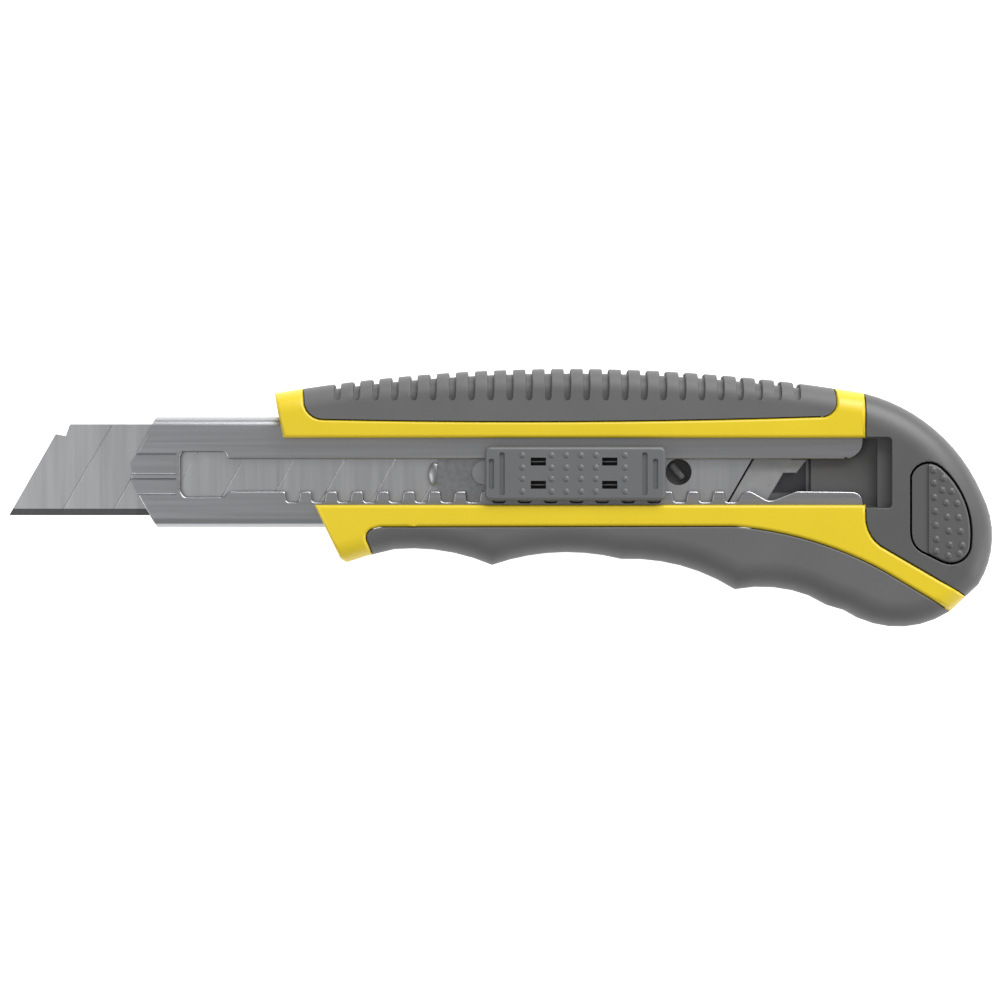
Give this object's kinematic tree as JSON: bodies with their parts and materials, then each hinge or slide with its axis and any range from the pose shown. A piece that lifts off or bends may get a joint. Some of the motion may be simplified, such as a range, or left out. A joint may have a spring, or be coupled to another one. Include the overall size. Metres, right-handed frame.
{
  "type": "snap-off utility knife",
  "caption": "Slide-out snap-off utility knife with a curved two-colour handle, steel blade channel, thumb slider, spare-blade magazine and a latched end cap.",
  "frame": {"origin": "middle of the knife's bounding box, on the flat back face that it lies on", "axes": "+X from the blade's point to the end cap, +Y from the finger grip to the ribbed top grip, +Z out of the slider's face"},
  "size_m": [0.1944, 0.0512, 0.0171],
  "materials": {
    "yellow_abs": "injection-moulded ABS, satin gloss",
    "grey_soft_rubber": "soft-touch thermoplastic rubber, fine matt grain",
    "grey_abs": "injection-moulded ABS, matt",
    "channel_steel": "bright cold-rolled steel sheet, faint rolling lines",
    "blade_steel": "ground carbon steel with score lines",
    "rivet_steel": "bright steel",
    "spring_steel": "blued spring steel"
  },
  "bodies": {
    "handle": {"handle_shell": "yellow_abs", "top_grip": "grey_soft_rubber", "finger_grip": "grey_soft_rubber", "blade_channel": "channel_steel", "channel_rivet_front": "rivet_steel", "channel_rivet_rear": "rivet_steel", "magazine_leaf_spring": "spring_steel"},
    "slider": {"working_blade": "blade_steel", "blade_carrier": "channel_steel", "blade_pin": "rivet_steel", "slider_carriage": "grey_abs", "lock_spring": "spring_steel"},
    "thumb": {"thumb_cover": "grey_abs"},
    "cap": {"end_cap": "grey_abs", "cap_latch_arm": "grey_abs"},
    "latch": {"cap_latch_button": "grey_abs"},
    "magazine": {"magazine_follower": "grey_abs", "spare_blade_1": "blade_steel", "spare_blade_2": "blade_steel", "spare_blade_3": "blade_steel", "spare_blade_4": "blade_steel", "spare_blade_5": "blade_steel"}
  },
  "joints": [
    {"name": "blade_slide", "type": "slide", "parent": "handle", "child": "slider", "axis": [-1, 0, 0], "range_m": [-0.0385, 0.0459], "deforming": ["lock_spring"]},
    {"name": "thumb_unlock", "type": "slide", "parent": "slider", "child": "thumb", "axis": [1, 0, 0], "range_m": [-0.0004, 0.0004], "stiffness_N_per_m": 800},
    {"name": "cap_slide", "type": "slide", "parent": "handle", "child": "cap", "axis": [1, 0, 0], "range_m": [0, 0.032], "deforming": ["cap_latch_arm"]},
    {"name": "latch_press", "type": "slide", "parent": "cap", "child": "latch", "axis": [0, 0, -1], "range_m": [0, 0.0012], "stiffness_N_per_m": 800, "springref_m": -0.0005},
    {"name": "magazine_press", "type": "slide", "parent": "handle", "child": "magazine", "axis": [0, 0, -1], "range_m": [0, 0.0005], "stiffness_N_per_m": 500, "springref_m": -0.003, "deforming": ["magazine_leaf_spring"]}
  ]
}
